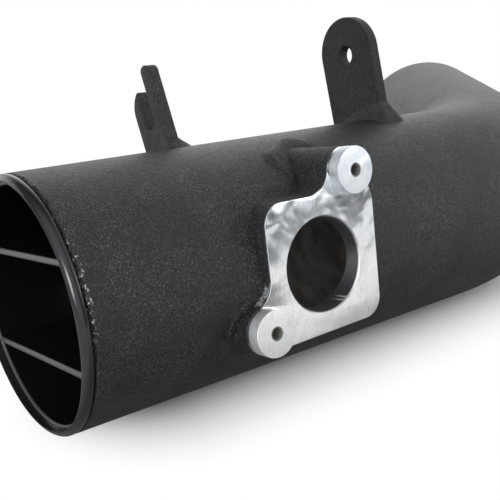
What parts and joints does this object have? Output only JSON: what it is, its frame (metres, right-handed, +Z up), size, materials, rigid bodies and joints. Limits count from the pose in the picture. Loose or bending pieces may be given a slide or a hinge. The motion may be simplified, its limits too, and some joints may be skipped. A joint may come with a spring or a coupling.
{
  "type": "cold air intake pipe",
  "caption": "Bent thin-walled aluminium intake duct, black powder coat, with a machined air flow sensor flange, welded mounting tabs and a flow straightener in its mouth.",
  "frame": {"origin": "middle of the near mouth, at the front face of the flow straightener's collar, on the duct's axis", "axes": "+X down the middle of the straight run, away from the mouth; +Z up as the pipe lies on a floor, square to the plane of the bend; the leg bends off towards +Y and the sensor flange faces -Y"},
  "size_m": [0.3288, 0.1822, 0.1108],
  "materials": {
    "powder_coat": "black fine-texture powder coat",
    "coated_weld": "black powder coat over a rippled weld",
    "machined_aluminium": "bare milled face, black powder coat on the sides",
    "moulded_plastic": "smooth black gloss"
  },
  "bodies": {
    "root": {"intake_tube": "powder_coat", "flow_straightener": "moulded_plastic", "sensor_flange": "machined_aluminium", "flange_weld": "coated_weld", "holed_tab": "powder_coat", "holed_tab_weld": "coated_weld", "slotted_tab": "powder_coat", "slotted_tab_weld": "coated_weld"}
  },
  "joints": []
}
